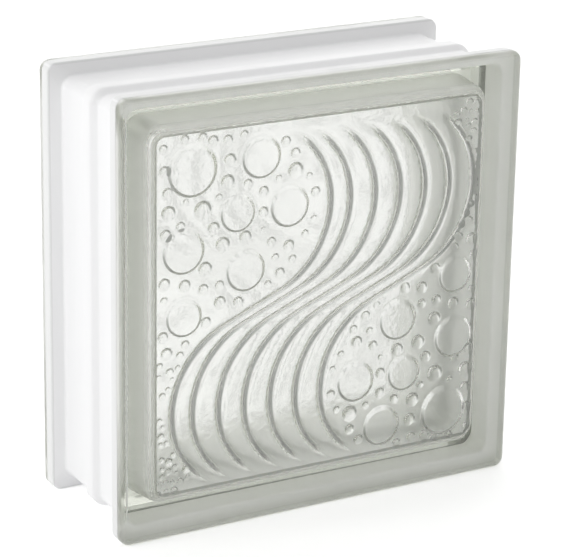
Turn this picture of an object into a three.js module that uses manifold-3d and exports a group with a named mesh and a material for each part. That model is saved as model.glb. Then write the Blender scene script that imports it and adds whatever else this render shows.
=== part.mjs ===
// Hollow pressed-glass building block, nominal 8 x 8 x 3 in, with a wave and bubble pattern.
//
// Millimetres. X runs across the block, Y through its depth and Z up. The front face looks
// along -Y, and the origin is the middle of the underside, where the block stands.
//
// Two like dishes are pressed in one mould, turned rim to rim and fused. Each has a plain
// outer face with a flange round it, side walls set back from the flange so that mortar can
// grip them, and the pattern on the inside of its face, where it stays clean. A white
// edge coating covers the set-back walls between the two flanges.

import * as THREE from 'three';
import { mergeVertices } from 'three/addons/utils/BufferGeometryUtils.js';
import Module from 'manifold-3d';

const wasm = await Module();
wasm.setup();

// ---- Driving dimensions: the block ----

const BLOCK_SIDE = 196.85; // height and width over the flanges, 7 3/4 in
const BLOCK_DEPTH = 79.375; // outer face to outer face, 3 1/8 in
const FACE_THICKNESS = 8;

const FLANGE_THICKNESS = 10; // along Y
const FLANGE_CORNER_RADIUS = 4.5; // at the block's four corners
const FACE_EDGE_RADIUS = 2.5; // fire-polished edge round the outer face
const FLANGE_BACK_RADIUS = 1; // edge round the back of the flange

const WALL_RECESS = 6.5; // from the flange's edge in to the side wall
const WALL_CORNER_RADIUS = 5;
const FLANGE_STEP_RUN = 0.8; // mould draft on the back of the flange
const FLANGE_ROOT_FILLET = 1.8;
const SEAM_RIDGE_RECESS = 4; // from the flange's edge in to the ridge of the fused seam
const SEAM_RIDGE_HALF_WIDTH = 3;
const SEAM_RIDGE_SLOPE = 4; // how far the ridge's flank runs along Y
const COATING_THICKNESS = 0.4;

const CAVITY_INSET = 13; // from the flange's edge in to the cavity, at the seam
const CAVITY_DRAFT = 1.2; // how much narrower the cavity gets towards the face
const CAVITY_CORNER_RADIUS = 8.5;
const CAVITY_COVE_RADIUS = 8; // where the cavity's walls curve in towards the face
const CAVITY_COVE_TURN = 55; // degrees the cove turns through before it meets the face in a crisp line

// ---- Driving dimensions: the pattern on the inside of each face ----
// Every place on a face is given across and up.

const RIDGE_COUNT = 7;
const RIDGE_PITCH = 12.7; // along X
const FIRST_FLUTE = 9.8; // between the first two ridges, narrower than the other flutes
const RIDGE_HEIGHT = 1.8;
const RIDGE_HALF_WIDTH = 6.3; // square to the ridge, out to where it has fallen to the flute
const RIDGE_POWER = 4; // how fast it falls away: 1 is a straight slope
const FLUTE_LIFT = 0.25; // height of the flutes' floors over the plain glass
const WAVE_MIDDLE = [3.4, -2.2]; // from the middle of the face
const WAVE_SWING = 38.4; // from the wave's middle across to its widest point
const WAVE_INNER_RADIUS = 41.5; // each bend, from the crossing to its widest point
const WAVE_OUTER_RADIUS = 37.3; // each bend, from there to its end
const WAVE_CROSSING_SLOPE = 23; // degrees above level, where the wave runs straight between them
const WAVE_END_ANGLE = 66; // degrees past the bend's widest point, where the ridges run out
const WAVE_RUN_OUT = 24; // degrees over which the ridges sink away at their ends

const FIELD_MIDDLE = [1.7, -1.1]; // of the bubbles and beads, from the middle of the face
const DIMPLE_DEPTH_SHARE = 0.15; // of the bubble's radius
const DIMPLE_FLOOR_SHARE = 0.8;
const DIMPLE_LEAN = [-0.4, -0.3]; // where the dimple's floor would shrink to, in radii
const BEAD_HEIGHT_SHARE = 0.4; // of the bead's radius
const BEAD_LEAN = [0.5, 0.3]; // where the bead is highest, in radii
// Middle from the field's middle, and radius. The field below and to the right of the wave is
// the same field, given half a turn about the field's middle.
const BUBBLES = [
  [-64.4, 65, 12],
  [-31.6, 66.6, 9.6],
  [-17.5, 43.1, 9.6],
  [-42.7, 43.3, 8.5],
  [-68.5, 30, 10.2],
  [-38.7, 17.4, 9.6],
  [-68.2, 0.6, 8.7],
];
const BEADS = [
  [-14.9, 58.2, 3.8],
  [-17.7, 24.9, 2.9],
  [-46.7, 66.8, 3],
  [-47.8, 57.4, 3.4],
  [-59.5, 46.8, 4.1],
  [-54.2, 38, 2.9],
  [-49.9, 30.2, 3.5],
  [-39, 31.9, 3.1],
  [-58.2, 20.5, 3.4],
  [-67.9, 14.5, 2.9],
  [-77.5, 16.5, 2.9],
  [-51, 4.6, 2.9],
  [-76.4, -14.6, 2.9],
  [-75.6, 47.3, 3.5],
  [-76.9, 37.9, 2.8],
];

// ---- How finely curves are divided ----

const CORNER_SEGMENTS = 6;
const EDGE_SEGMENTS = 3;
const FLUTE_STEPS = [0, 0.12, 0.3, 0.7, 0.88]; // shares of the way from one ridge to the next
const FLANK_STEPS = [0.3, 0.8]; // shares of the half width, outside the first and last ridges
const WAVE_SEGMENTS = 13; // along each bend
const BUBBLE_SEGMENTS = 20;
const BEAD_SEGMENTS = 7;
const BEAD_RINGS = [1.25, 0.65, 0.2]; // shares of the radius; the first lies inside the glass
const RELIEF_ROOT = 1.2; // how deep the wave's solid reaches into the face that it joins
const RIDGE_END_SHARE = 0.1; // the ridges' least height, so that their ends keep a section
const MERGE_DISTANCE = 1e-4;

const FACE_Y = -BLOCK_DEPTH / 2;
const INNER_FACE_Y = FACE_Y + FACE_THICKNESS;
const MIDDLE_Z = BLOCK_SIDE / 2;

// ---- Lofts and solids ----

// Skins a run of like sections. Each is a ring of points that turns anticlockwise, seen from
// outside the first one. An open run is capped at both ends, and a closed one joins its last
// section to its first. flatten gives a point's place on the plane of its own section.
function loft(sections, flatten, closed = false) {
  const count = sections[0].length;
  const index = [];
  const spans = closed ? sections.length : sections.length - 1;
  for (let i = 0; i < spans; i++) {
    const here = i * count;
    const next = ((i + 1) % sections.length) * count;
    for (let j = 0; j < count; j++) {
      const k = (j + 1) % count;
      index.push(here + j, next + j, next + k);
      index.push(here + j, next + k, here + k);
    }
  }
  if (!closed) {
    const last = spans * count;
    for (const [a, b, c] of flatTriangles(sections[0].map(flatten))) index.push(a, b, c);
    for (const [a, b, c] of flatTriangles(sections.at(-1).map(flatten))) {
      index.push(last + a, last + c, last + b);
    }
  }
  const geometry = new THREE.BufferGeometry();
  geometry.setFromPoints(sections.flat());
  geometry.setIndex(index);
  return geometry;
}

// Triangles that fill a flat ring, each turning anticlockwise.
function flatTriangles(ring) {
  return THREE.ShapeUtils.triangulateShape(ring, []).map(([a, b, c]) => {
    const turn = ring[b].clone().sub(ring[a]).cross(ring[c].clone().sub(ring[a]));
    return turn > 0 ? [a, b, c] : [a, c, b];
  });
}

function toSolid(geometry) {
  const bare = geometry.clone();
  bare.deleteAttribute('normal');
  bare.deleteAttribute('uv');
  const merged = mergeVertices(bare, MERGE_DISTANCE);
  const corners = merged.index.array;
  const kept = [];
  for (let i = 0; i < corners.length; i += 3) {
    const [a, b, c] = corners.slice(i, i + 3);
    if (a !== b && b !== c && c !== a) kept.push(a, b, c); // a turned shape's poles leave slivers
  }
  const mesh = new wasm.Mesh({
    numProp: 3,
    vertProperties: new Float32Array(merged.attributes.position.array),
    triVerts: new Uint32Array(kept),
  });
  return new wasm.Manifold(mesh);
}

function toGeometry(solid) {
  const mesh = solid.getMesh();
  const geometry = new THREE.BufferGeometry();
  geometry.setAttribute('position', new THREE.BufferAttribute(mesh.vertProperties, 3));
  geometry.setIndex(new THREE.BufferAttribute(mesh.triVerts, 1));
  return geometry;
}

// ---- Side profile ----
// Each station is a depth along Y, how far the outline is set in from the block's edge there,
// and the outline's corner radius.

function squareSection([y, inset, cornerRadius]) {
  const side = BLOCK_SIDE / 2 - inset - cornerRadius;
  const outline = new THREE.Path();
  outline.absarc(side, side, cornerRadius, 0, Math.PI / 2);
  outline.absarc(-side, side, cornerRadius, Math.PI / 2, Math.PI);
  outline.absarc(-side, -side, cornerRadius, Math.PI, 1.5 * Math.PI);
  outline.absarc(side, -side, cornerRadius, 1.5 * Math.PI, 2 * Math.PI);
  const points = outline.getPoints(CORNER_SEGMENTS / 2);
  return points.map((p) => new THREE.Vector3(p.x, y, MIDDLE_Z + p.y));
}

const acrossFace = (p) => new THREE.Vector2(p.x, p.z);

// Steps round a quarter of a unit circle: how far along, and how far it has dropped.
function quarterRound() {
  return Array.from({ length: EDGE_SEGMENTS + 1 }, (_, i) => {
    const angle = ((i / EDGE_SEGMENTS) * Math.PI) / 2;
    return [Math.sin(angle), 1 - Math.cos(angle)];
  });
}

// The flange, from the flat outer face round to its back edge.
function flangeStations() {
  const stations = [];
  for (const [along, drop] of quarterRound()) {
    const inset = FACE_EDGE_RADIUS * (1 - along);
    stations.push([FACE_Y + FACE_EDGE_RADIUS * drop, inset, FLANGE_CORNER_RADIUS - inset]);
  }
  for (const [along, drop] of quarterRound()) {
    const inset = FLANGE_BACK_RADIUS * drop;
    const y = FACE_Y + FLANGE_THICKNESS - FLANGE_BACK_RADIUS * (1 - along);
    stations.push([y, inset, FLANGE_CORNER_RADIUS - inset]);
  }
  return stations;
}

// The set-back wall, from the back edge of the flange to the crest of the fused seam.
function wallStations() {
  const stations = [flangeStations().at(-1)];
  const root = FACE_Y + FLANGE_THICKNESS + FLANGE_STEP_RUN;
  for (const [along, drop] of quarterRound()) {
    const inset = WALL_RECESS - FLANGE_ROOT_FILLET * (1 - along);
    stations.push([root + FLANGE_ROOT_FILLET * drop, inset, WALL_CORNER_RADIUS + WALL_RECESS - inset]);
  }
  const rise = WALL_RECESS - SEAM_RIDGE_RECESS;
  for (const share of [0, 0.25, 0.75, 1]) {
    const lift = rise * THREE.MathUtils.smoothstep(share, 0, 1);
    const y = -SEAM_RIDGE_HALF_WIDTH - SEAM_RIDGE_SLOPE * (1 - share);
    stations.push([y, WALL_RECESS - lift, WALL_CORNER_RADIUS + lift]);
  }
  stations.push([0, SEAM_RIDGE_RECESS, WALL_CORNER_RADIUS + rise]);
  return stations;
}

// The inside of the dish, from the fused rim down to the flat inside of the face.
function cavityStations() {
  const stations = [[0, CAVITY_INSET, CAVITY_CORNER_RADIUS]];
  const turn = THREE.MathUtils.degToRad(CAVITY_COVE_TURN);
  for (let i = 0; i <= EDGE_SEGMENTS; i++) {
    const angle = (turn * i) / EDGE_SEGMENTS;
    const reach = CAVITY_COVE_RADIUS * (1 - Math.cos(angle));
    stations.push([
      INNER_FACE_Y + CAVITY_COVE_RADIUS * (Math.sin(turn) - Math.sin(angle)),
      CAVITY_INSET + CAVITY_DRAFT + reach,
      CAVITY_CORNER_RADIUS - reach,
    ]);
  }
  return stations;
}

function plainDish() {
  const stations = [...flangeStations(), ...wallStations().slice(1), ...cavityStations()];
  return loft(stations.map(squareSection), acrossFace);
}

// ---- The pattern on the inside of the face ----

// The places of the ridges along X, from the wave's middle.
function ridgePlaces() {
  const half = (FIRST_FLUTE + (RIDGE_COUNT - 2) * RIDGE_PITCH) / 2;
  const others = Array.from({ length: RIDGE_COUNT - 1 }, (_, i) => FIRST_FLUTE - half + i * RIDGE_PITCH);
  return [-half, ...others];
}

// The curve that every ridge follows, from top to bottom, as steps from the wave's middle.
// lean is how far square to the curve a millimetre along X goes, and run is the ridge's share
// of its full height.
function waveStations() {
  const slope = THREE.MathUtils.degToRad(WAVE_CROSSING_SLOPE);
  // The bend lies as high as lets the straight stretch through the middle touch it.
  const bendX = WAVE_SWING - WAVE_INNER_RADIUS;
  const bendZ = (WAVE_INNER_RADIUS + bendX * Math.sin(slope)) / Math.cos(slope);
  const start = THREE.MathUtils.degToRad(WAVE_END_ANGLE);
  const leaving = slope - Math.PI / 2;
  const runOut = THREE.MathUtils.degToRad(WAVE_RUN_OUT);
  const upper = [];
  for (let i = 0; i <= WAVE_SEGMENTS; i++) {
    const angle = THREE.MathUtils.lerp(start, leaving, i / WAVE_SEGMENTS);
    const radius = angle > 0 ? WAVE_OUTER_RADIUS : WAVE_INNER_RADIUS;
    upper.push({
      x: WAVE_SWING - radius * (1 - Math.cos(angle)),
      z: bendZ + radius * Math.sin(angle),
      lean: Math.cos(angle),
      run: THREE.MathUtils.clamp((start - angle) / runOut, RIDGE_END_SHARE, 1),
    });
  }
  const lower = upper.map((station) => ({ ...station, x: -station.x, z: -station.z }));
  return [...upper, ...lower.reverse()];
}

function ridgeRise(away) {
  return RIDGE_HEIGHT * Math.max(1 - away / RIDGE_HALF_WIDTH, 0) ** RIDGE_POWER;
}

// The upper side of one level section of the wave, from left to right. Each point is its place
// along X, from the wave's middle, and its height over the flutes' floors.
function waveProfile({ x, lean, run }) {
  const ridges = ridgePlaces();
  const flank = FLANK_STEPS.map((share) => share * RIDGE_HALF_WIDTH);
  const profile = flank.map((away) => [x + ridges[0] - away / lean, ridgeRise(away)]).reverse();
  for (let i = 0; i + 1 < ridges.length; i++) {
    const width = ridges[i + 1] - ridges[i];
    for (const share of FLUTE_STEPS) {
      const away = Math.min(share, 1 - share) * width * lean;
      profile.push([x + ridges[i] + share * width, ridgeRise(away)]);
    }
  }
  profile.push([x + ridges.at(-1), ridgeRise(0)]);
  for (const away of flank) profile.push([x + ridges.at(-1) + away / lean, ridgeRise(away)]);
  return profile.map(([along, rise]) => [along, rise * run]);
}

// All the ridges as one band, with the flutes between them.
function wave() {
  const [middleX, middleZ] = WAVE_MIDDLE;
  const root = INNER_FACE_Y - RELIEF_ROOT;
  const sections = waveStations().map((station) => {
    const profile = waveProfile(station);
    const level = MIDDLE_Z + middleZ + station.z;
    const point = (x, y) => new THREE.Vector3(middleX + x, y, level);
    const top = profile.map(([x, rise]) => point(x, INNER_FACE_Y + FLUTE_LIFT + rise));
    return [point(profile[0][0], root), point(profile.at(-1)[0], root), ...top.reverse()];
  });
  return loft(sections, (p) => new THREE.Vector2(p.x, p.y));
}

// Skins a stack of round sections that shrink towards a point off their middle. Each ring is
// its share of the full radius and its height over the plain glass.
function leaningStack([x, z, radius], [leanX, leanZ], rings, segments) {
  const sections = rings.map(([share, rise]) => {
    const middleX = FIELD_MIDDLE[0] + x + (1 - share) * leanX * radius;
    const middleZ = FIELD_MIDDLE[1] + z + (1 - share) * leanZ * radius;
    return Array.from({ length: segments }, (_, i) => {
      const angle = (i / segments) * 2 * Math.PI;
      return new THREE.Vector3(
        middleX + share * radius * Math.cos(angle),
        INNER_FACE_Y + rise,
        MIDDLE_Z + middleZ + share * radius * Math.sin(angle),
      );
    });
  });
  return loft(sections, acrossFace);
}

// The hollow that a bubble leaves in the face, carried on past the face at the same slope.
function dimple(place) {
  const depth = DIMPLE_DEPTH_SHARE * place[2];
  const mouth = 1 + (1 - DIMPLE_FLOOR_SHARE) / 2;
  const rings = [[DIMPLE_FLOOR_SHARE, -depth], [mouth, depth / 2]];
  return leaningStack(place, DIMPLE_LEAN, rings, BUBBLE_SEGMENTS);
}

// A bead is a low round drop.
function bead(place) {
  const height = BEAD_HEIGHT_SHARE * place[2];
  const rings = BEAD_RINGS.map((share) => [share, height * (1 - share * share)]);
  return leaningStack(place, BEAD_LEAN, rings, BEAD_SEGMENTS);
}

const bothFields = (places) => places.flatMap(([x, z, radius]) => [[x, z, radius], [-x, -z, radius]]);

// ---- The pieces ----

function frontHalf() {
  const hollows = bothFields(BUBBLES).map((place) => toSolid(dimple(place)));
  const raised = [wave(), ...bothFields(BEADS).map(bead)].map(toSolid);
  const dish = hollows.reduce((solid, hollow) => solid.subtract(hollow), toSolid(plainDish()));
  return toGeometry(raised.reduce((solid, piece) => solid.add(piece), dish));
}

// The second pressing from the same mould, given half a turn about Z.
function rearHalf() {
  return frontHalf().scale(-1, -1, 1);
}

// Moves a run of stations out from the glass by a thickness, square to the profile.
function swell(stations, thickness) {
  return stations.map(([y, inset, cornerRadius], i) => {
    const [yBefore, insetBefore] = stations[Math.max(i - 1, 0)];
    const [yAfter, insetAfter] = stations[Math.min(i + 1, stations.length - 1)];
    const run = new THREE.Vector2(yAfter - yBefore, insetBefore - insetAfter).normalize();
    const out = run.x * thickness;
    return [y - run.y * thickness, inset - out, cornerRadius + out];
  });
}

// A skin over the set-back walls of both halves, from the back of one flange to the other.
function edgeCoating() {
  const front = wallStations();
  const rear = front.slice(0, -1).reverse().map(([y, inset, radius]) => [-y, inset, radius]);
  const glass = [...front, ...rear];
  const stations = [...swell(glass, COATING_THICKNESS), ...glass.reverse()];
  return loft(stations.map(squareSection), acrossFace, true);
}

// ---- Assembly ----

function clearGlass() {
  return new THREE.MeshStandardMaterial({
    color: 0xe6ece2,
    roughness: 0.05,
    metalness: 0,
    transparent: true,
    opacity: 0.4,
  });
}

function whiteCoating() {
  return new THREE.MeshStandardMaterial({ color: 0xf4f4f2, roughness: 0.6, metalness: 0 });
}

function piece(name, geometry, material) {
  const mesh = new THREE.Mesh(geometry, material);
  mesh.name = name;
  geometry.computeVertexNormals();
  return mesh;
}

const block = new THREE.Group();
block.name = 'glass_block';
block.add(
  piece('front_half', frontHalf(), clearGlass()),
  piece('rear_half', rearHalf(), clearGlass()),
  piece('edge_coating', edgeCoating(), whiteCoating()),
);

export default block;
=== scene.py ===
# %% [markdown]
# # A hollow glass block
#
# The block is a square building unit of pressed glass. Two shallow dishes come out of one
# mould, are turned rim to rim and are fused while hot, so that thin dry air is sealed between
# them. Each dish is smooth outside and carries its pattern inside: a wave of six flutes, and a
# field of round bubbles on either side. The walls behind the flanges are painted white.
#
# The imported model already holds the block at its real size. This script dresses it: finer
# glass, the paint, the light and the camera. One Blender unit is a metre, and the front face
# looks along -Y.

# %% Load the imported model
import math
import random

import bmesh
import bpy
import numpy as np
from mathutils import Matrix, Vector


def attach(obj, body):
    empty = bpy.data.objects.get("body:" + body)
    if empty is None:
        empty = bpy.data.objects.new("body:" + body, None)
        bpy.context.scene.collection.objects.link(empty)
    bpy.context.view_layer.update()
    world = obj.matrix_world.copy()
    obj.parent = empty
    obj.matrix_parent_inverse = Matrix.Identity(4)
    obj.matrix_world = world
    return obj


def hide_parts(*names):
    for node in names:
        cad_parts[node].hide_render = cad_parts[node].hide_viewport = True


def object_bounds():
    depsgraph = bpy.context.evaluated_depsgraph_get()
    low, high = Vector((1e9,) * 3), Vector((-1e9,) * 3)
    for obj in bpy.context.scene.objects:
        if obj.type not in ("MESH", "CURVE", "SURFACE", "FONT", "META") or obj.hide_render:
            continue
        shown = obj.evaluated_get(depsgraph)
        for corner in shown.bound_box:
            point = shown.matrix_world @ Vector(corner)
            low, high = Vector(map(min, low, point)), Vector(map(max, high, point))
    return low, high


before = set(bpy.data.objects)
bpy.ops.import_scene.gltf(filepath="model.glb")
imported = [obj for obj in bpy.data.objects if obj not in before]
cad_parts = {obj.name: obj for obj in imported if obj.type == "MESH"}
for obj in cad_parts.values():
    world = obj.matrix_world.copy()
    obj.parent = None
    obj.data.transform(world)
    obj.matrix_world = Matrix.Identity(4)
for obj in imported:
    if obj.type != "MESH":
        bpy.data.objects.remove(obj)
cad_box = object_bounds()
print("nodes:", sorted(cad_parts))
print("block size in mm:", [round(1000 * d, 2) for d in cad_box[1] - cad_box[0]])

# %% [markdown]
# ## Sizes
#
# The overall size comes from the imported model, so the glass made here can't drift away from
# it. What the model's boxes can't tell, such as a wall or a fillet, is a named value. They are
# all written in millimetres and turned into metres once.

# %% Sizes of the block
MM = 0.001

block_low, block_high = cad_box
BLOCK_SIDE = block_high.x - block_low.x
BLOCK_DEPTH = block_high.y - block_low.y
MIDDLE_Z = (block_low.z + block_high.z) / 2
FACE_Y = block_low.y

FACE_THICKNESS = 8 * MM
FLANGE_THICKNESS = 10 * MM
FLANGE_CORNER_RADIUS = 4.5 * MM
FACE_EDGE_RADIUS = 2.5 * MM
FLANGE_BACK_RADIUS = 1 * MM
FLANGE_STEP_RUN = 0.8 * MM
FLANGE_ROOT_FILLET = 1.8 * MM

WALL_RECESS = 6.5 * MM
WALL_CORNER_RADIUS = 5 * MM
SEAM_RIDGE_RECESS = 4 * MM
SEAM_RIDGE_HALF_WIDTH = 3 * MM
SEAM_RIDGE_SLOPE = 4 * MM
COATING_THICKNESS = 0.4 * MM
RIM_PAINT_EDGE = 4.2 * MM  # behind the face, where the paint on the flange's rim starts

CAVITY_INSET = 13 * MM
CAVITY_DRAFT = 1.2 * MM
CAVITY_CORNER_RADIUS = 8.5 * MM
CAVITY_COVE_RADIUS = 8 * MM
CAVITY_COVE_TURN = math.radians(55)

INNER_FACE_Y = FACE_Y + FACE_THICKNESS
print("glass face", FACE_THICKNESS / MM, "mm thick")
print("cavity", round(-2 * INNER_FACE_Y / MM, 2), "mm deep")

# %% [markdown]
# ## Camera
#
# A long lens, a little above the block and round to its left, so that the front face, the
# white left side and the top all show. It leans by about a degree, as a hand-set tripod does.
# The aim is a point just below the block's middle, which keeps the lens shift at zero.

# %% Camera
IMAGE_WIDTH = 563  # in pixels
FOCAL_PIXELS = 2584  # the lens's focal length, in pixels of the render
SENSOR_WIDTH = 36  # in mm, Blender's own
CAMERA_AZIMUTH, CAMERA_ELEVATION, CAMERA_ROLL = 29.96, 18.74, 0.96  # in degrees
CAMERA_DISTANCE = 1150 * MM
AIM_RIGHT, AIM_UP = 0.7 * MM, -3.7 * MM  # from the block's middle, in the picture's plane


def place_camera():
    """Points a camera at the block from the left and above, and returns it."""
    azimuth, elevation = math.radians(CAMERA_AZIMUTH), math.radians(CAMERA_ELEVATION)
    back = Vector((
        -math.sin(azimuth) * math.cos(elevation),
        -math.cos(azimuth) * math.cos(elevation),
        math.sin(elevation),
    ))
    turn = back.to_track_quat("Z", "Y").to_matrix()
    turn = turn @ Matrix.Rotation(math.radians(CAMERA_ROLL), 3, "Z")
    middle = Vector((0, 0, MIDDLE_Z))
    data = bpy.data.cameras.new("camera")
    data.sensor_width = SENSOR_WIDTH
    data.lens = FOCAL_PIXELS / IMAGE_WIDTH * SENSOR_WIDTH
    camera = bpy.data.objects.new("camera", data)
    camera.matrix_world = Matrix.Translation(
        middle + back * CAMERA_DISTANCE + turn @ Vector((AIM_RIGHT, AIM_UP, 0))
    ) @ turn.to_4x4()
    bpy.context.collection.objects.link(camera)
    return camera


camera = place_camera()
bpy.context.scene.camera = camera
print("lens", round(camera.data.lens, 1), "mm at", [round(v, 3) for v in camera.location])

# %% [markdown]
# ## Side profile
#
# Cut the block through its middle and the cut edge shows a flange, a set-back wall and the
# low ridge of the fused seam. The whole block is that profile carried round a square with
# round corners. So each stop along the profile is a station: how deep it is, how far in from
# the block's edge, and how round the corners are there. Extruding one ring of edges from
# station to station then makes a wall of any section, which a plain box with bevels can't.

# %% Flange stations
FINE_STEPS = 6
RIM_PAINT_START = FINE_STEPS + 1  # the station where the paint on the flange's rim starts


def quarter_round(steps=FINE_STEPS):
    """Steps round a quarter of a unit circle: how far along, and how far it has dropped."""
    angles = [math.pi / 2 * i / steps for i in range(steps + 1)]
    return [(math.sin(angle), 1 - math.cos(angle)) for angle in angles]


def flange_stations():
    """From the flat outer face round to the flange's back edge."""
    stations = []
    for along, drop in quarter_round():
        inset = FACE_EDGE_RADIUS * (1 - along)
        stations.append((FACE_Y + FACE_EDGE_RADIUS * drop, inset, FLANGE_CORNER_RADIUS - inset))
    stations.append((FACE_Y + RIM_PAINT_EDGE, 0, FLANGE_CORNER_RADIUS))
    for along, drop in quarter_round():
        inset = FLANGE_BACK_RADIUS * drop
        y = FACE_Y + FLANGE_THICKNESS - FLANGE_BACK_RADIUS * (1 - along)
        stations.append((y, inset, FLANGE_CORNER_RADIUS - inset))
    return stations


print("flange stations:", len(flange_stations()))

# %% Wall and cavity stations
def wall_stations():
    """From the flange's back edge along the set-back wall to the crest of the seam."""
    stations = [flange_stations()[-1]]
    root = FACE_Y + FLANGE_THICKNESS + FLANGE_STEP_RUN
    for along, drop in quarter_round():
        inset = WALL_RECESS - FLANGE_ROOT_FILLET * (1 - along)
        radius = WALL_CORNER_RADIUS + WALL_RECESS - inset
        stations.append((root + FLANGE_ROOT_FILLET * drop, inset, radius))
    rise = WALL_RECESS - SEAM_RIDGE_RECESS
    for i in range(FINE_STEPS + 1):
        share = i / FINE_STEPS
        lift = rise * share * share * (3 - 2 * share)
        y = -SEAM_RIDGE_HALF_WIDTH - SEAM_RIDGE_SLOPE * (1 - share)
        stations.append((y, WALL_RECESS - lift, WALL_CORNER_RADIUS + lift))
    stations.append((0, SEAM_RIDGE_RECESS, WALL_CORNER_RADIUS + rise))
    return stations


def cavity_stations():
    """From the inside of the face round the cove and along the cavity's wall to the fused rim."""
    stations = []
    for i in reversed(range(FINE_STEPS + 1)):
        angle = CAVITY_COVE_TURN * i / FINE_STEPS
        reach = CAVITY_COVE_RADIUS * (1 - math.cos(angle))
        stations.append((
            INNER_FACE_Y + CAVITY_COVE_RADIUS * (math.sin(CAVITY_COVE_TURN) - math.sin(angle)),
            CAVITY_INSET + CAVITY_DRAFT + reach,
            CAVITY_CORNER_RADIUS - reach,
        ))
    stations.append((0, CAVITY_INSET, CAVITY_CORNER_RADIUS))
    return stations


print("wall stations:", len(wall_stations()), "and cavity stations:", len(cavity_stations()))

# %% A profile moved out by a thickness
def swell(stations, thickness):
    """Moves stations out from the glass by a thickness, square to the profile."""
    swelled = []
    for i, (y, inset, radius) in enumerate(stations):
        y_before, inset_before, _ = stations[max(i - 1, 0)]
        y_after, inset_after, _ = stations[min(i + 1, len(stations) - 1)]
        run = Vector((y_after - y_before, inset_before - inset_after)).normalized()
        out, back = run.x * thickness, run.y * thickness
        swelled.append((y - back, inset - out, radius + out))
    return swelled


painted_crest = swell(wall_stations(), COATING_THICKNESS)[-1]
print("the painted seam lies", round(painted_crest[1] / MM, 2), "mm in from the flange's edge")

# %% [markdown]
# ## Carrying the profile round the square
#
# A ring starts as one square face whose corners are rounded by a vertex bevel. Its edges are
# then extruded once for each station. Every new point keeps its share of the straight side
# or its angle round the corner, so the rings stay in step while the corners grow rounder.

# %% A face with round corners
CORNER_STEPS = 10
UPRIGHT = Matrix.Rotation(math.pi / 2, 3, "X")  # turns a flat shape to face -Y


def stand_up(bm, verts, y):
    """Stands a shape made flat round the origin up behind the middle of the face, at depth y."""
    bmesh.ops.rotate(bm, verts=verts, cent=(0, 0, 0), matrix=UPRIGHT)
    bmesh.ops.translate(bm, verts=verts, vec=(0, y, MIDDLE_Z))


def square_face(bm, station, side_cuts=0):
    """Adds a face with round corners at a station, and returns it."""
    y, inset, radius = station
    made = bmesh.ops.create_grid(bm, x_segments=1, y_segments=1, size=BLOCK_SIDE / 2 - inset)
    face = made["verts"][0].link_faces[0]
    bmesh.ops.bevel(
        bm, geom=made["verts"], affect="VERTICES", offset=radius, segments=CORNER_STEPS,
        profile=0.5, material=-1,
    )
    face = next(f for f in bm.faces if len(f.verts) == 4 * (CORNER_STEPS + 1))
    if side_cuts:
        sides = [e for e in face.edges if e.calc_length() > 2 * radius]
        bmesh.ops.subdivide_edges(bm, edges=sides, cuts=side_cuts)
    stand_up(bm, face.verts[:], y)
    return face


# %% Extruding its edges from station to station
def carry(value, old, new):
    """Moves one coordinate of a point from an old station's outline to a new one's."""
    old_side = BLOCK_SIDE / 2 - old[1] - old[2]
    new_side = BLOCK_SIDE / 2 - new[1] - new[2]
    along = min(abs(value), old_side) * new_side / old_side
    over = max(abs(value) - old_side, 0) * new[2] / old[2]
    return math.copysign(along + over, value)


def extrude_through(bm, edges, stations):
    """Extrudes a ring of edges at the first station through all the others."""
    for old, new in zip(stations, stations[1:]):
        made = bmesh.ops.extrude_edge_only(bm, edges=edges)["geom"]
        verts = {g for g in made if isinstance(g, bmesh.types.BMVert)}
        for vert in verts:
            vert.co.x = carry(vert.co.x, old, new)
            vert.co.z = MIDDLE_Z + carry(vert.co.z - MIDDLE_Z, old, new)
            vert.co.y = new[0]
        edges = [g for g in made if isinstance(g, bmesh.types.BMEdge) and verts.issuperset(g.verts)]
    return edges


# %% From a bmesh to an object
FLAT_FACE_WEIGHT = 100  # the most that a large face can outweigh a small one beside it


def finish_mesh(bm, name):
    """Makes a bmesh one smooth-shaded object at the origin, and returns it."""
    bmesh.ops.recalc_face_normals(bm, faces=bm.faces)
    for face in bm.faces:
        face.smooth = True
    mesh = bpy.data.meshes.new(name)
    bm.to_mesh(mesh)
    bm.free()
    piece = bpy.data.objects.new(name, mesh)
    bpy.context.collection.objects.link(piece)
    weighted = piece.modifiers.new("flat faces stay flat", "WEIGHTED_NORMAL")
    weighted.weight = FLAT_FACE_WEIGHT
    weighted.keep_sharp = True
    mesh.calc_loop_triangles()
    print(name, "has", len(mesh.loop_triangles), "triangles")
    return piece
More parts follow.
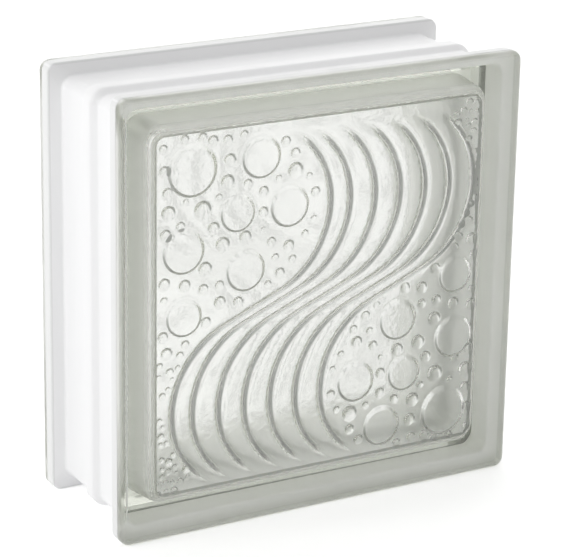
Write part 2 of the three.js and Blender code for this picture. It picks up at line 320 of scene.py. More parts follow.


# %% [markdown]
# ## The pattern
#
# The mould cuts the pattern into the inside of each face, so both outer faces stay smooth and
# easy to clean. The wave is a band of six hollow flutes with a narrow ridge on each side of
# every one. All seven ridges follow one curve, moved across: two round bends that tighten past
# their widest point, joined by a straight slant, where the ridges crowd and are a little lower.
#
# Each bubble is a shallow dimple with a low rim round it. Its floor sits low in it, so its wall
# is steep below and easy above. Each bead is a drop of glass that leans up to the right. Light
# bends differently at each side of such a shape, and painted shade on its steep sides darkens
# one line of it; together they draw it. A thin groove frames the whole pattern.
#
# The relief could be a bump in the material, but glass bends light by its real slopes, so it
# is real geometry: a fine grid whose points are moved by a height worked out for each one.

# %% Sizes of the pattern
PATTERN_X, PATTERN_Z = 1.7 * MM, -1.1 * MM  # its middle, from the middle of the face
WAVE_X, WAVE_Z = 1.7 * MM, -1.1 * MM  # the wave's middle, from the pattern's
RIDGE_COUNT = 7
RIDGE_PITCH = 12.68 * MM
FIRST_FLUTE = 9.8 * MM  # the flute on the left is narrower than the others
RIDGE_HEIGHT = 1.8 * MM
RIDGE_FLANK = 6.3 * MM  # from the crest to the foot
RIDGE_SHARPNESS = 4  # the power of its fall from crest to foot
RIDGE_ROUNDING = 0.1 * MM
RIDGE_CROWDING = 0.2  # the power by which ridges are lower where they run close together
WAVE_SWING = 38.4 * MM
WAVE_INNER_RADIUS = 41.5 * MM  # between the slant and the widest point of a bend
WAVE_OUTER_RADIUS = 37.3 * MM  # past the widest point
WAVE_CROSSING_SLOPE = math.radians(23)  # of the slant, from level
WAVE_END_ANGLE = math.radians(66)  # round the outer bend, from its widest point
WAVE_RUN_OUT = math.radians(24)  # over which the ridges sink before that end

DIMPLE_DEPTH_SHARE = 0.1  # of the bubble's radius
DIMPLE_FLOOR_SHARE = 0.8  # of the radius, where the flat floor ends
DIMPLE_LEAN = (0, -0.45)  # where the floor is centred, in radii across and up
RIM_HEIGHT = 0.12 * MM  # of the raised rim round each bubble
RIM_HALF_WIDTH = 0.9 * MM
BEAD_HEIGHT_SHARE = 0.35  # of the bead's radius
BEAD_LEAN = (0.3, 0.4)  # where the top is centred
EDGE_SOFTNESS = 1.1 * MM  # over which the pattern ends at the border
BORDER_GROOVE_DEPTH = 1.1 * MM  # of the thin groove that frames the pattern
BORDER_GROOVE_WIDTH = 1.6 * MM
SLOPE_STEP = 0.1 * MM  # over which a slope is measured
print("the wave swings", round(WAVE_SWING / MM, 1), "mm to each side")

# %% Places of the bubbles and beads
# Middle across and up from the middle of the pattern, and radius, in millimetres. The same
# field lies on the other side of the wave, given half a turn about the middle of the pattern.
BUBBLES = [
    (-64.4, 65, 12), (-31.6, 66.6, 9.6), (-17.5, 43.1, 9.6), (-42.7, 43.3, 8.5),
    (-68.5, 30, 10.2), (-38.7, 17.4, 9.6), (-68.2, 0.6, 8.7),
]
BEADS = [
    (-19.9, 71.6, 2.5), (-15.1, 65.9, 2.5), (-14.9, 58.2, 3.8), (-8.1, 55, 1.7),
    (-4.9, 47.5, 2.4), (-5.5, 35.6, 1.7), (-9.7, 29.3, 1.9), (-17.7, 24.9, 2.9),
    (-15.8, 18.6, 2.2), (-21.9, 13.3, 2.5), (-24.2, 20.7, 1.9), (-26.2, 27.9, 2.4),
    (-27.7, 9.2, 1.9), (-30.4, 51, 2.5), (-30.4, 41.7, 2.6), (-23, 55.7, 1.8),
    (-38, 55.3, 2.3), (-40, 76.9, 2.2), (-47.8, 75.6, 2.5), (-54.8, 76.1, 2.6),
    (-46.7, 66.8, 3), (-47.8, 57.4, 3.4), (-51.7, 51.1, 1.9), (-59.5, 46.8, 4.1),
    (-54.2, 38, 2.9), (-49.9, 30.2, 3.5), (-39, 31.9, 3.1), (-30.3, 34.1, 1.4),
    (-58.2, 20.5, 3.4), (-67.9, 14.5, 2.9), (-77.5, 16.5, 2.9), (-58.9, 11.6, 2.5),
    (-51.2, 12.2, 2.3), (-51, 4.6, 2.9), (-42.2, 3.3, 2.6), (-57.7, -3.4, 2.6),
    (-67.6, -11.9, 2.2), (-76.4, -14.6, 2.9), (-78.2, -6.9, 2.6), (-77.6, 9.2, 1.9),
    (-75.6, 47.3, 3.5), (-76.9, 37.9, 2.8), (-69.8, 41, 2.2), (-76, 56.1, 2.6),
    (-67.5, 51.2, 1.6), (-77.5, 65.7, 2.5), (-78, 75.3, 2.2), (-68, 78.2, 2.2),
    (-59.7, 78.1, 2.3),
]
print(RIDGE_COUNT, "ridges,", len(BUBBLES), "bubbles and", len(BEADS), "placed beads")

# %% Curve of the wave
RIDGES = np.array([-FIRST_FLUTE, *(RIDGE_PITCH * i for i in range(RIDGE_COUNT - 1))])
RIDGES -= (RIDGES[0] + RIDGES[-1]) / 2


def wave_bend():
    """Where the upper bend's circle is centred, across and up from the middle of the pattern."""
    across = WAVE_SWING - WAVE_INNER_RADIUS
    sine, cosine = math.sin(WAVE_CROSSING_SLOPE), math.cos(WAVE_CROSSING_SLOPE)
    return across, (WAVE_INNER_RADIUS + across * sine) / cosine


def wave_swing(z):
    """How far across the wave swings at a height, both from the middle of the pattern."""
    bend_x, bend_z = wave_bend()
    up = np.abs(z)
    inner = bend_x + np.sqrt(np.clip(WAVE_INNER_RADIUS ** 2 - (up - bend_z) ** 2, 0, None))
    outer = np.sqrt(np.clip(WAVE_OUTER_RADIUS ** 2 - (up - bend_z) ** 2, 0, None))
    outer += WAVE_SWING - WAVE_OUTER_RADIUS
    slant = up / math.tan(WAVE_CROSSING_SLOPE)
    leave_z = bend_z - WAVE_INNER_RADIUS * math.cos(WAVE_CROSSING_SLOPE)
    swing = np.where(up > bend_z, outer, np.where(up > leave_z, inner, slant))
    return np.copysign(swing, z)


print("ridges at", np.round(RIDGES / MM, 1), "mm across")

# %% Small beads in the narrow strips beside the wave
STRIP_BEADS = 30
STRIP_BEAD_RADIUS = (1.2, 2.2)  # this and the next three lines are in millimetres, as BEADS are
STRIP_LEFT, STRIP_RIGHT = -81, -64
STRIP_LOW, STRIP_HIGH = -78, -16
STRIP_GAP = 0.5  # between the beads and the wave's first ridge
random.seed(7)


def strip_beads():
    """Scatters little beads beside the wave, clear of it and of each other."""
    placed = []
    while len(placed) < STRIP_BEADS:
        x = random.uniform(STRIP_LEFT, STRIP_RIGHT)
        z = random.uniform(STRIP_LOW, STRIP_HIGH)
        radius = random.uniform(*STRIP_BEAD_RADIUS)
        if x + radius > (RIDGES[0] + wave_swing(z * MM)) / MM - STRIP_GAP:
            continue
        if all(math.dist((x, z), other[:2]) > radius + other[2] for other in placed + BEADS):
            placed.append((x, z, radius))
    return placed


beads = BEADS + strip_beads()
print(len(BUBBLES), "bubbles and", len(beads), "beads on each side of the wave")

# %% Height of the relief
def soft_step(value):
    """Rises smoothly from 0 to 1."""
    share = np.clip(value, 0, 1)
    return share * share * (3 - 2 * share)


def ridge_height(x, z):
    """Height of the wave's ridges over the plain glass."""
    x, z = x - WAVE_X, z - WAVE_Z
    rise = wave_swing(z + SLOPE_STEP) - wave_swing(z - SLOPE_STEP)
    lean = np.hypot(1, rise / (2 * SLOPE_STEP))
    across = (x - wave_swing(z))[:, None] - RIDGES
    away = np.hypot(across / lean[:, None], RIDGE_ROUNDING) - RIDGE_ROUNDING
    fall = (np.clip(1 - away / RIDGE_FLANK, 0, None) ** RIDGE_SHARPNESS).max(axis=1)
    angle = np.arcsin(np.clip((np.abs(z) - wave_bend()[1]) / WAVE_OUTER_RADIUS, -1, 1))
    run_out = soft_step((WAVE_END_ANGLE - angle) / WAVE_RUN_OUT)
    return RIDGE_HEIGHT * run_out * fall / lean ** RIDGE_CROWDING


def leaning_share(x, z, middle, radius, lean):
    """0 at a point that leans off a circle's middle, 1 on the circle, and more outside it."""
    from_point_x = x - middle[0] - lean[0] * radius
    from_point_z = z - middle[1] - lean[1] * radius
    away = from_point_x ** 2 + from_point_z ** 2
    toward = (from_point_x * lean[0] + from_point_z * lean[1]) * radius
    spare = radius ** 2 * (1 - lean[0] ** 2 - lean[1] ** 2)
    return (toward + np.sqrt(toward ** 2 + spare * away)) / spare


def relief_height(x, z):
    """Height of the whole pattern over the plain glass, for points across and up."""
    x, z = x - PATTERN_X, z - PATTERN_Z
    height = ridge_height(x, z)
    for turn in (1, -1):
        for across, up, radius in BUBBLES:
            middle, radius = (turn * across * MM, turn * up * MM), radius * MM
            share = leaning_share(x, z, middle, radius, DIMPLE_LEAN)
            floor = soft_step((1 - share) / (1 - DIMPLE_FLOOR_SHARE))
            from_rim = np.abs(np.hypot(x - middle[0], z - middle[1]) - radius)
            rim = soft_step(1 - from_rim / RIM_HALF_WIDTH)
            height += RIM_HEIGHT * rim - DIMPLE_DEPTH_SHARE * radius * floor
        for across, up, radius in beads:
            middle, radius = (turn * across * MM, turn * up * MM), radius * MM
            share = leaning_share(x, z, middle, radius, BEAD_LEAN)
            height += BEAD_HEIGHT_SHARE * radius * np.clip(1 - share ** 2, 0, None)
    return height


middle_height = relief_height(np.zeros(1), np.zeros(1))[0]
print("relief at the middle of the face:", round(middle_height / MM, 2), "mm")

# %% [markdown]
# ## The two glass halves
#
# Each half is one closed skin. The patterned inside of the face is a fine grid; its border is
# extruded up the cavity's wall to the rim. The outside starts as the plain outer face and is
# extruded round the flange and along the wall to the same rim, and the two rings are filled.
# A boolean could cut the cavity out of a solid, but it leaves uneven faces round the cut, and
# glass shows every one of them.
#
# The grid is halved again along edges where the slope turns fast. Each of its points also
# keeps how steep the relief is there, which the material uses for roughness and painted shade.
#
# The real halves are fused. Two glass bodies that only touched would each throw back light at
# the joint, so each rim here goes a tenth of a millimetre past the seam into the other. The
# walls likewise reach into the paint, so that the paint is seen through the glass as wet
# paint is, and not through a film of air.

# %% Relief out to the border, and how steep it is
STEEP_REACH = 0.4 * MM  # over which the relief's steepness is measured
STEEP_DIRECTIONS = 8


def face_relief(x, z):
    """Height at points across and up: the pattern, which ends softly, and the groove round it."""
    _, inset, radius = cavity_stations()[0]
    over_x, over_z = (np.abs(value) - BLOCK_SIDE / 2 + inset + radius for value in (x, z))
    in_corner = (over_x > 0) & (over_z > 0)
    from_border = radius - np.where(in_corner, np.hypot(over_x, over_z), np.maximum(over_x, over_z))
    groove = BORDER_GROOVE_DEPTH * soft_step(1 - from_border / BORDER_GROOVE_WIDTH)
    return relief_height(x, z) * soft_step(from_border / EDGE_SOFTNESS) - groove


def relief_steepness(x, z):
    """The steepest way up or down from each point, over a short reach."""
    height = face_relief(x, z)
    steepest = np.zeros_like(height)
    for i in range(STEEP_DIRECTIONS):
        turn = math.tau * i / STEEP_DIRECTIONS
        near_x, near_z = x + STEEP_REACH * math.cos(turn), z + STEEP_REACH * math.sin(turn)
        steepest = np.maximum(steepest, np.abs(face_relief(near_x, near_z) - height))
    return steepest / STEEP_REACH


# %% Patterned inside of a face
GRID_STEPS = 200
FINER_PASSES = 1
FINER_TURN = 0.09  # change of slope along one edge that asks for a finer mesh
STEEPNESS = "steepness"  # the attribute that carries it to the material


def cut_finer(bm):
    """Halves the edges along which the relief's slope changes much."""
    x, z = np.array([vert.co[:2] for vert in bm.verts]).T
    rise_x = face_relief(x + SLOPE_STEP, z) - face_relief(x - SLOPE_STEP, z)
    rise_z = face_relief(x, z + SLOPE_STEP) - face_relief(x, z - SLOPE_STEP)
    slope_x, slope_z = rise_x / (2 * SLOPE_STEP), rise_z / (2 * SLOPE_STEP)
    bm.verts.index_update()
    start, end = np.array([[vert.index for vert in edge.verts] for edge in bm.edges]).T
    turn = np.hypot(slope_x[start] - slope_x[end], slope_z[start] - slope_z[end])
    edges = [edge for edge, much in zip(bm.edges, turn > FINER_TURN) if much]
    bmesh.ops.subdivide_edges(bm, edges=edges, cuts=1, use_grid_fill=True)


def patterned_face(bm):
    """Adds the inside of the face with its relief, and returns its border edges."""
    station = cavity_stations()[0]
    half = BLOCK_SIDE / 2 - station[1]
    side = half - station[2]
    # A new layer cuts off the verts that are in hand, so it is made before there are any.
    steepness = bm.verts.layers.float.new(STEEPNESS)
    bmesh.ops.create_grid(bm, x_segments=GRID_STEPS, y_segments=GRID_STEPS, size=half)
    for _ in range(FINER_PASSES):
        cut_finer(bm)
    verts = bm.verts[:]
    for vert in verts:
        over = Vector((abs(vert.co.x) - side, abs(vert.co.y) - side))
        if over.x > 0 and over.y > 0:  # draws the grid's square corners in to round ones
            over *= max(over) / over.length
            vert.co.x = math.copysign(side + over.x, vert.co.x)
            vert.co.y = math.copysign(side + over.y, vert.co.y)
    flat = np.array([vert.co[:2] for vert in verts])
    heights = face_relief(flat[:, 0], flat[:, 1])
    slopes = relief_steepness(flat[:, 0], flat[:, 1])
    stand_up(bm, verts, INNER_FACE_Y)
    for vert, height, slope in zip(verts, heights, slopes):
        vert.co.y += height
        vert[steepness] = slope
    border = [e for e in bm.edges if e.is_boundary]
    for edge in border:
        edge.smooth = False
    print("steepest slope of the relief:", round(float(slopes.max()), 2))
    return border


# %% Glass halves
SEAM_OVERLAP = 0.1 * MM
PAINT_CONTACT = 0.2 * MM
RIM_PAINT_THICKNESS = 0.1 * MM
FACE_BORDER = 1 * MM  # a narrow flat border that keeps the outer face's shading flat


def past_the_seam(stations):
    """Moves the last station, at the seam, a little way into the other half."""
    return stations[:-1] + [(SEAM_OVERLAP, *stations[-1][1:])]


def glass_half():
    """The front half, whose rim is filled last."""
    bm = bmesh.new()
    inside = patterned_face(bm)
    inner_rim = extrude_through(bm, inside, past_the_seam(cavity_stations()))
    flange = flange_stations()
    outer = flange[:RIM_PAINT_START] + swell(flange, -RIM_PAINT_THICKNESS)[RIM_PAINT_START:]
    outer = past_the_seam(outer + swell(wall_stations(), PAINT_CONTACT)[1:])
    face = square_face(bm, outer[0])
    outside = face.edges[:]
    bmesh.ops.inset_region(bm, faces=[face], thickness=FACE_BORDER, depth=0)
    outer_rim = extrude_through(bm, outside, outer)
    bmesh.ops.triangle_fill(bm, edges=inner_rim + outer_rim, use_beauty=True, normal=(0, 1, 0))
    print("open edges of a glass half:", sum(not e.is_manifold for e in bm.edges))
    return bm


front_bm = glass_half()
rear_bm = front_bm.copy()
half_turn = Matrix.Rotation(math.pi, 3, "Z")
bmesh.ops.rotate(rear_bm, verts=rear_bm.verts, cent=(0, 0, 0), matrix=half_turn)
front_glass = finish_mesh(front_bm, "front_glass")
rear_glass = finish_mesh(rear_bm, "rear_glass")

# %% [markdown]
# ## The edge coating
#
# The paint covers the set-back walls, the flanges' backs and, as thin overspray, the back part
# of the flanges' rims. A Solidify modifier could thicken a copy of the walls, but its edge
# would stand up from the rims. So the paint is a closed band between two profiles. The outer
# one stands out from the walls and is flush with the bare rim; the inner one lies a little
# within the glass.

# %% Edge coating
COATING_SIDE_CUTS = 40  # along each straight side, so that no face is a long sliver


def both_sides(front):
    """Carries the front half's stations on through the rear half."""
    return front + [(-y, inset, radius) for y, inset, radius in reversed(front[:-1])]


def coating_band():
    """The whole band of paint, whose two ends are bridged last."""
    bm = bmesh.new()
    flange = flange_stations()
    wall = wall_stations()[1:]
    outer_wall = swell(both_sides(wall_stations()), COATING_THICKNESS)[1:len(wall) + 1]
    outer = both_sides(flange[RIM_PAINT_START:] + outer_wall)
    inner = both_sides(swell(flange, -RIM_PAINT_THICKNESS - PAINT_CONTACT)[RIM_PAINT_START:] + wall)
    face = square_face(bm, outer[0], COATING_SIDE_CUTS)
    first = face.edges[:]
    bmesh.ops.delete(bm, geom=[face], context="FACES_ONLY")
    last = extrude_through(bm, first, outer + inner[::-1])
    bmesh.ops.bridge_loops(bm, edges=first + last)
    return bm


edge_paint = finish_mesh(coating_band(), "edge_paint")

# %% [markdown]
# ## Effects that both finishes share
#
# Pressed glass sets with slow waves in it and with the grain of the mould, and paint keeps the
# marks of the roller and a grain of its own. All of these are one soft noise, stretched by how
# often it changes each way: evenly for the glass, and along the walls for the roller. Hands
# and dust add soft patches that are a little duller. Each effect is a node group that gives
# out a value only, so each material can use it at its own scale and strength.

# %% Node helpers
def new_group(name, inputs, outputs):
    """Starts a shader node group. Inputs are (name, socket type, value), outputs are names."""
    group = bpy.data.node_groups.new(name, "ShaderNodeTree")
    for label, kind, value in inputs:
        socket = group.interface.new_socket(label, in_out="INPUT", socket_type=kind)
        socket.default_value = value
    for label in outputs:
        group.interface.new_socket(label, in_out="OUTPUT", socket_type="NodeSocketFloat")
    return group, group.nodes.new("NodeGroupInput"), group.nodes.new("NodeGroupOutput")


def math_node(nodes, operation, first, second):
    """Adds a Math node. Each input is a number or a socket to link."""
    node = nodes.new("ShaderNodeMath")
    node.operation = operation
    for socket, value in zip(node.inputs, (first, second)):
        if isinstance(value, bpy.types.NodeSocket):
            node.id_data.links.new(value, socket)
        else:
            socket.default_value = value
    return node.outputs[0]


# %% Streaks
def streak_group():
    """Soft streaks: noise on Object coordinates, stretched by how often it changes each way."""
    group, given, result = new_group(
        "soft streaks",
        [
            ("Changes per metre", "NodeSocketVector", (100, 100, 10)),
            ("Detail", "NodeSocketFloat", 2),
        ],
        ["Streak"],
    )
    nodes, links = group.nodes, group.links
    place = nodes.new("ShaderNodeTexCoord")
    stretch = nodes.new("ShaderNodeVectorMath")
    stretch.operation = "MULTIPLY"
    noise = nodes.new("ShaderNodeTexNoise")
    noise.inputs["Scale"].default_value = 1
    links.new(place.outputs["Object"], stretch.inputs[0])
    links.new(given.outputs["Changes per metre"], stretch.inputs[1])
    links.new(stretch.outputs[0], noise.inputs["Vector"])
    links.new(given.outputs["Detail"], noise.inputs["Detail"])
    links.new(noise.outputs["Fac"], result.inputs["Streak"])
    return group


soft_streaks = streak_group()
print("group:", soft_streaks.name)

# %% Patches
PATCH_DETAIL = 5
PATCH_DISTORTION = 0.4
PATCH_START = 0.75  # the noise at which a patch starts, with no cover
PATCH_SPREAD = 0.5  # how far full cover lowers that
PATCH_EDGE = 0.2  # how much more noise makes a patch full


def patch_group():
    """Soft patches with clear ground between them, 0 to 1, as hands and dust leave."""
    group, given, result = new_group(
        "soft patches",
        [("Patches per metre", "NodeSocketFloat", 20), ("Cover", "NodeSocketFloat", 0.5)],
        ["Patch"],
    )
    nodes, links = group.nodes, group.links
    place = nodes.new("ShaderNodeTexCoord")
    noise = nodes.new("ShaderNodeTexNoise")
    noise.inputs["Detail"].default_value = PATCH_DETAIL
    noise.inputs["Distortion"].default_value = PATCH_DISTORTION
    edge = nodes.new("ShaderNodeMapRange")
    edge.interpolation_type = "SMOOTHSTEP"
    links.new(place.outputs["Object"], noise.inputs["Vector"])
    links.new(given.outputs["Patches per metre"], noise.inputs["Scale"])
    links.new(noise.outputs["Fac"], edge.inputs["Value"])
    lower = math_node(nodes, "MULTIPLY", given.outputs["Cover"], PATCH_SPREAD)
    start = math_node(nodes, "SUBTRACT", PATCH_START, lower)
    links.new(start, edge.inputs["From Min"])
    links.new(math_node(nodes, "ADD", start, PATCH_EDGE), edge.inputs["From Max"])
    links.new(edge.outputs["Result"], result.inputs["Patch"])
    return group


soft_patches = patch_group()
print("group:", soft_patches.name)


def place_group(nodes, group, **values):
    """Adds a group to a material with its own values, underscores standing for spaces."""
    node = nodes.new("ShaderNodeGroup")
    node.node_tree = group
    for label, value in values.items():
        node.inputs[label.replace("_", " ")].default_value = value
    return node


# %% [markdown]
# ## Pressed glass
#
# Soda-lime glass is clear in a thin pane and greenish through its depth, so the colour is an
# absorption inside the body and not a tint on its skin. The outer skin is polished and very
# slightly wavy, and a little duller in patches where it was handled. The rims are duller too.
#
# The inner skin has the fine grain of the mould. Where the relief is steep it is duller, and its
# colour is darkened there as painted shade, which gives each ridge and bubble one dark line. A
# painted image of the pattern could do that, but it would slide off the shapes when a size
# changes. So the material reads the steepness that the mesh keeps. The fused seam is greyed a
# little as painted shade, and more so near its outside, so that it makes no bright line in the
# glass.

# %% Finish of the glass
GLASS_IOR = 1.52
GLASS_ABSORPTION_COLOUR = (0.44, 0.50, 0.20)
GLASS_ABSORPTION = 3  # per metre
GLASS_ROUGHNESS = (0.0, 0.05)  # clean, and handled
GLASS_PATCHES = 16  # per metre
GLASS_PATCH_COVER = 0.4
GLASS_WAVES = (28, 28, 28)  # per metre
GLASS_WAVE_HEIGHT = 0.03 * MM
RIM_ROUGHNESS = 0.3
RIM_DEPTH = 1.5 * MM  # from the flange's edge in
CLEAR_COLOUR = (1, 1, 1)

MOULD_SKIN_COLOUR = (0.82, 0.825, 0.81)
# The flank colour is painted shade, which darkens the steep relief into dark lines.
MOULD_FLANK_PAINTED_SHADE = (0.14, 0.145, 0.135)
MOULD_FLANK = (0.54, 0.9)  # slopes between which the relief turns from skin to flank
MOULD_SKIN_ROUGHNESS = 0.22
MOULD_FLANK_ROUGHNESS = 0.6
MOULD_GRAIN = (420, 420, 420)  # per metre
MOULD_GRAIN_HEIGHT = 0.2 * MM
CAVITY_WALL_ROUGHNESS = 0.35

# The seam's greys are painted shade, darkest near the outside, so that no bright line shows.
SEAM_PAINTED_SHADE = (0.8, 0.81, 0.79)
SEAM_EDGE_PAINTED_SHADE = (0.45, 0.46, 0.44)
SEAM_EDGE = 7.5 * MM  # from the flange's edge in

# The skin and the cavity's wall are masked by boxes a little larger than they are.
SKIN_SPARE_DEPTH, SKIN_SPARE_SIDE, CAVITY_SPARE_SIDE = 3 * MM, 0.5 * MM, 1 * MM
SKIN_DEPTH = SKIN_SPARE_DEPTH - INNER_FACE_Y
SKIN_HALF = BLOCK_SIDE / 2 - cavity_stations()[0][1] + SKIN_SPARE_SIDE
CAVITY_HALF = BLOCK_SIDE / 2 - CAVITY_INSET + CAVITY_SPARE_SIDE
print("mould skin within", round(SKIN_HALF / MM, 2), "mm of the middle")

# %% Nodes for both materials
def range_node(nodes, value, low, high):
    """Maps a 0 to 1 socket to a range."""
    node = nodes.new("ShaderNodeMapRange")
    node.inputs["To Min"].default_value = low
    node.inputs["To Max"].default_value = high
    node.id_data.links.new(value, node.inputs["Value"])
    return node.outputs["Result"]


def mix_colours(nodes, share, first, second):
    """Mixes two colours, each a tuple or a socket, by a 0 to 1 socket."""
    node = nodes.new("ShaderNodeMix")
    node.data_type = "RGBA"
    for name, colour in (("A", first), ("B", second)):
        if isinstance(colour, tuple):
            node.inputs[name].default_value = (*colour, 1)
        else:
            node.id_data.links.new(colour, node.inputs[name])
    node.id_data.links.new(share, node.inputs["Factor"])
    return node.outputs["Result"]


def new_material(name):
    """A material with only its Principled shader, returned with the nodes and the links."""
    material = bpy.data.materials.new(name)
    material.use_nodes = True
    tree = material.node_tree
    return material, tree.nodes, tree.links, tree.nodes["Principled BSDF"]


def add_bump(nodes, links, shader, height, distance=1):
    """Feeds a height to the shader's normal, in metres unless a distance scales it."""
    bump = nodes.new("ShaderNodeBump")
    bump.inputs["Distance"].default_value = distance
    links.new(height, bump.inputs["Height"])
    links.new(bump.outputs["Normal"], shader.inputs["Normal"])


# %% Where on the block
def inside_box(nodes, half_across, half_deep):
    """1 within a box about the block's middle and 0 outside it, by Object coordinates."""
    place = nodes.new("ShaderNodeTexCoord")
    middle = nodes.new("ShaderNodeVectorMath")
    middle.operation = "SUBTRACT"
    middle.inputs[1].default_value = (0, 0, MIDDLE_Z)
    size = nodes.new("ShaderNodeVectorMath")
    size.operation = "ABSOLUTE"
    parts = nodes.new("ShaderNodeSeparateXYZ")
    tree = place.id_data
    tree.links.new(place.outputs["Object"], middle.inputs[0])
    tree.links.new(middle.outputs[0], size.inputs[0])
    tree.links.new(size.outputs[0], parts.inputs[0])
    across = math_node(nodes, "MAXIMUM", parts.outputs["X"], parts.outputs["Z"])
    in_across = math_node(nodes, "LESS_THAN", across, half_across)
    in_deep = math_node(nodes, "LESS_THAN", parts.outputs["Y"], half_deep)
    return math_node(nodes, "MULTIPLY", in_across, in_deep)


def steep_share(nodes, low, high):
    """0 where the relief lies along the face, 1 where it stands up from it."""
    slope = nodes.new("ShaderNodeAttribute")
    slope.attribute_name = STEEPNESS
    steep = nodes.new("ShaderNodeMapRange")
    steep.interpolation_type = "SMOOTHSTEP"
    steep.inputs["From Min"].default_value = low
    steep.inputs["From Max"].default_value = high
    slope.id_data.links.new(slope.outputs["Fac"], steep.inputs["Value"])
    return steep.outputs["Result"]


# %% Glass material
def glass_tint(nodes, skin, steep):
    """Clear outside, with painted shade: dark on the mould's steep flanks and grey at the seam."""
    seam = inside_box(nodes, BLOCK_SIDE, 2 * SEAM_OVERLAP)
    seam_core = inside_box(nodes, BLOCK_SIDE / 2 - SEAM_EDGE, 2 * SEAM_OVERLAP)
    # Painted shade: grey at the seam, darker near its outside.
    seam_painted_shade = mix_colours(nodes, seam_core, SEAM_EDGE_PAINTED_SHADE, SEAM_PAINTED_SHADE)
    # Painted shade: dark on the steep flanks of the mould's skin.
    skin_tint_and_painted_shade = mix_colours(nodes, steep, MOULD_SKIN_COLOUR, MOULD_FLANK_PAINTED_SHADE)
    tint = mix_colours(nodes, skin, CLEAR_COLOUR, skin_tint_and_painted_shade)
    return mix_colours(nodes, seam, tint, seam_painted_shade)


def glass_dullness(nodes, skin, steep):
    """The greatest roughness of those from handling, the mould, the cavity's wall and the rim."""
    patches = place_group(
        nodes, soft_patches, Patches_per_metre=GLASS_PATCHES, Cover=GLASS_PATCH_COVER
    )
    rough = range_node(nodes, patches.outputs["Patch"], *GLASS_ROUGHNESS)
    mould = range_node(nodes, steep, MOULD_SKIN_ROUGHNESS, MOULD_FLANK_ROUGHNESS)
    cavity = inside_box(nodes, CAVITY_HALF, SKIN_DEPTH)
    wall = math_node(nodes, "SUBTRACT", cavity, skin)
    within_rim = inside_box(nodes, BLOCK_SIDE / 2 - RIM_DEPTH, BLOCK_DEPTH)
    rim = math_node(nodes, "SUBTRACT", 1, within_rim)
    for place, most in ((skin, mould), (wall, CAVITY_WALL_ROUGHNESS), (rim, RIM_ROUGHNESS)):
        rough = math_node(nodes, "MAXIMUM", rough, math_node(nodes, "MULTIPLY", place, most))
    return rough


def glass_unevenness(nodes, skin):
    """Height in metres of the slow waves, and of the grain on the mould's skin."""
    waves = place_group(nodes, soft_streaks, Changes_per_metre=GLASS_WAVES, Detail=1)
    grain = place_group(nodes, soft_streaks, Changes_per_metre=MOULD_GRAIN, Detail=1)
    ripple = math_node(nodes, "MULTIPLY", waves.outputs["Streak"], GLASS_WAVE_HEIGHT)
    grain_height = math_node(nodes, "MULTIPLY", skin, MOULD_GRAIN_HEIGHT)
    mottle = math_node(nodes, "MULTIPLY", grain.outputs["Streak"], grain_height)
    return math_node(nodes, "ADD", ripple, mottle)


def pressed_glass():
    """The material of both halves."""
    material, nodes, links, shader = new_material("pressed glass")
    shader.inputs["Metallic"].default_value = 0
    shader.inputs["Transmission Weight"].default_value = 1
    shader.inputs["IOR"].default_value = GLASS_IOR
    skin = inside_box(nodes, SKIN_HALF, SKIN_DEPTH)
    steep = steep_share(nodes, *MOULD_FLANK)
    links.new(glass_tint(nodes, skin, steep), shader.inputs["Base Color"])
    links.new(glass_dullness(nodes, skin, steep), shader.inputs["Roughness"])
    add_bump(nodes, links, shader, glass_unevenness(nodes, skin))
    absorb = nodes.new("ShaderNodeVolumeAbsorption")
    absorb.inputs["Color"].default_value = (*GLASS_ABSORPTION_COLOUR, 1)
    absorb.inputs["Density"].default_value = GLASS_ABSORPTION
    links.new(absorb.outputs["Volume"], nodes["Material Output"].inputs["Volume"])
    return material


glass = pressed_glass()
for half in (front_glass, rear_glass):
    half.data.materials.append(glass)
print(glass.name, "absorbs", GLASS_ABSORPTION, "per metre")

# %% [markdown]
# ## White edge paint
#
# The walls carry a thick white paint that mortar grips and that hides the joint from inside.
# It is rolled on, so it is satin, with faint roller marks along the wall and a fine grain. On
# the flanges' rims it is only a film, so the glass under it greys it a little. One material
# with a mask by depth does both, where two would need the band cut in pieces.

# %% Paint material
PAINT_COLOUR = (0.96, 0.96, 0.965)
PAINT_SHADE = (0.93, 0.93, 0.935)  # between the roller's marks
RIM_PAINT_COLOUR = (0.85, 0.855, 0.85)
RIM_PAINT_DEPTH = 1 * MM  # from the flange's edge in
PAINT_ROUGHNESS = (0.35, 0.55)  # clean, and handled
PAINT_PATCHES = 24  # per metre
PAINT_PATCH_COVER = 0.5
PAINT_STREAKS = (25, 260, 25)  # per metre
PAINT_STREAK_HEIGHT = 0.12 * MM
PAINT_GRAIN = (900, 900, 900)  # per metre
PAINT_GRAIN_SHARE = 0.3  # of the streaks' height


def rolled_paint():
    """The material of the edge coating."""
    material, nodes, links, shader = new_material("white edge paint")
    streaks = place_group(nodes, soft_streaks, Changes_per_metre=PAINT_STREAKS, Detail=3)
    grain = place_group(nodes, soft_streaks, Changes_per_metre=PAINT_GRAIN, Detail=2)
    patches = place_group(
        nodes, soft_patches, Patches_per_metre=PAINT_PATCHES, Cover=PAINT_PATCH_COVER
    )
    rolled = mix_colours(nodes, streaks.outputs["Streak"], PAINT_SHADE, PAINT_COLOUR)
    walls = inside_box(nodes, BLOCK_SIDE / 2 - RIM_PAINT_DEPTH, BLOCK_DEPTH)
    links.new(mix_colours(nodes, walls, RIM_PAINT_COLOUR, rolled), shader.inputs["Base Color"])
    rough = range_node(nodes, patches.outputs["Patch"], *PAINT_ROUGHNESS)
    links.new(rough, shader.inputs["Roughness"])
    fine = math_node(nodes, "MULTIPLY", grain.outputs["Streak"], PAINT_GRAIN_SHARE)
    height = math_node(nodes, "ADD", streaks.outputs["Streak"], fine)
    add_bump(nodes, links, shader, height, PAINT_STREAK_HEIGHT)
    return material


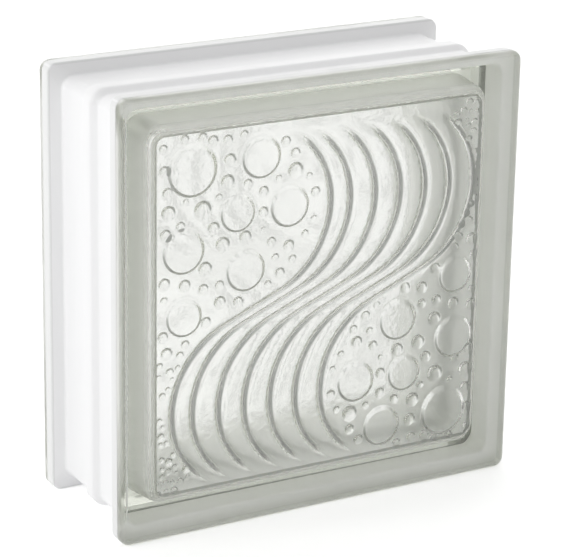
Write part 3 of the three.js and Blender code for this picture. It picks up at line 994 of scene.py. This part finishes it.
paint = rolled_paint()
edge_paint.data.materials.append(paint)
print(paint.name, "on", edge_paint.name)

# %% [markdown]
# ## Placing the pieces on the body
#
# Each piece stands for one node of the imported model, which it hides, and rides on the
# block's only body.

# %% Pieces and frame
for piece, node, slot in (
    (front_glass, "front_half", "glass"),
    (rear_glass, "rear_half", "glass"),
    (edge_paint, "edge_coating", "edge_coating"),
):
    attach(piece, "root")
    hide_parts(node)
    print(piece.name, "stands for", node, "in the finish", slot)

# %% [markdown]
# ## Studio
#
# A pale floor, a pale surround and two big soft lamps. Clear glass shows only what it bends
# or mirrors, so an even surround would leave it blank. This one is brightest behind and to the
# right, dimmer to the left and above, and nearly dark in front. A hard edge between two levels
# would show as a line in the glass, so each level fades into the next.
#
# Walls of paper round the block could do the same, but a world is one shader and stays out of
# the part. The floor glows by just what it takes to look white where nothing shades it, so it
# keeps the block's own soft shadow.

# %% Surround
SIDE_LEVELS = {  # how bright the surround is straight out from each side of the block
    "X": (0.57, 1.25),  # left and right
    "Y": (0.15, 1.33),  # in front and behind
    "Z": (0, 0.64),  # below and above
}


def studio_surround():
    """A world whose brightness turns smoothly from one side's level to the next one's."""
    world = bpy.data.worlds.new("studio surround")
    world.use_nodes = True
    nodes, links = world.node_tree.nodes, world.node_tree.links
    direction = nodes.new("ShaderNodeTexCoord")
    parts = nodes.new("ShaderNodeSeparateXYZ")
    links.new(direction.outputs["Generated"], parts.inputs[0])
    brightness = 0
    for axis, (low, high) in SIDE_LEVELS.items():
        share = math_node(nodes, "MULTIPLY", parts.outputs[axis], parts.outputs[axis])
        side = math_node(nodes, "GREATER_THAN", parts.outputs[axis], 0)
        level = range_node(nodes, side, low, high)
        brightness = math_node(nodes, "ADD", brightness, math_node(nodes, "MULTIPLY", share, level))
    sky = nodes["Background"]
    sky.inputs["Color"].default_value = (1, 1, 1, 1)
    links.new(brightness, sky.inputs["Strength"])
    return world


bpy.context.scene.world = studio_surround()
print("surround levels:", SIDE_LEVELS)

# %% Floor
FLOOR_SIZE = 12  # metres
FLOOR_COLOUR = (0.98, 0.98, 0.98)
FLOOR_ROUGHNESS = 0.9
FLOOR_LIFT = 0.3  # how much it glows


def sees_background(nodes):
    """1 for the rays that should see a white floor: camera, glossy and transmission."""
    path = nodes.new("ShaderNodeLightPath")
    seen = math_node(nodes, "MAXIMUM", path.outputs["Is Camera Ray"], path.outputs["Is Glossy Ray"])
    return math_node(nodes, "MAXIMUM", seen, path.outputs["Is Transmission Ray"])


def pale_floor():
    """A big pale floor under the block. A floor that is staged, so that it is no piece
    of the part.
    """
    bm = bmesh.new()
    bmesh.ops.create_grid(bm, x_segments=1, y_segments=1, size=FLOOR_SIZE / 2)
    mesh = bpy.data.meshes.new("floor")
    bm.to_mesh(mesh)
    bm.free()
    floor = bpy.data.objects.new("floor", mesh)
    bpy.context.collection.objects.link(floor)
    material, nodes, links, shader = new_material("pale floor")
    shader.inputs["Base Color"].default_value = (*FLOOR_COLOUR, 1)
    shader.inputs["Roughness"].default_value = FLOOR_ROUGHNESS
    shader.inputs["Specular IOR Level"].default_value = 0
    shader.inputs["Emission Color"].default_value = (1, 1, 1, 1)
    glow = range_node(nodes, sees_background(nodes), 0, FLOOR_LIFT)
    links.new(glow, shader.inputs["Emission Strength"])
    mesh.materials.append(material)
    return floor


floor = pale_floor()
print(floor.name, "is", FLOOR_SIZE, "m wide")

# %% Lamps
LAMP_SIZE = 1  # metre
LAMPS = [  # name, place, power in watts
    ("key", (-2.1, 0.1, 1.3), 15.6),
    ("rear", (1.4, 1.5, 1.4), 3),
]


def soft_lamp(name, place, power):
    """A square soft box aimed at the block."""
    data = bpy.data.lights.new(name, "AREA")
    data.shape = "SQUARE"
    data.size = LAMP_SIZE
    data.energy = power
    lamp = bpy.data.objects.new(name, data)
    aim = Vector((0, 0, MIDDLE_Z)) - Vector(place)
    turn = aim.to_track_quat("-Z", "Y").to_matrix()
    lamp.matrix_world = Matrix.Translation(place) @ turn.to_4x4()
    bpy.context.collection.objects.link(lamp)
    return lamp


lamps = [soft_lamp(*lamp) for lamp in LAMPS]
print("lamps:", [lamp.name for lamp in lamps])

# %% [markdown]
# ## Last steps
#
# A ray of light crosses four skins of glass and then runs between white walls, so it needs
# many more bounces than most scenes give it, or the block turns dark inside. The plain view
# transform keeps white paint white, where a film-like one would grey it.

# %% Bounces and view
scene = bpy.context.scene
scene.view_settings.view_transform = "Standard"
scene.cycles.max_bounces = 64
scene.cycles.transmission_bounces = 48
scene.cycles.glossy_bounces = 48
scene.cycles.diffuse_bounces = 24
scene.cycles.blur_glossy = 0  # blurred refraction would lose the light inside the walls
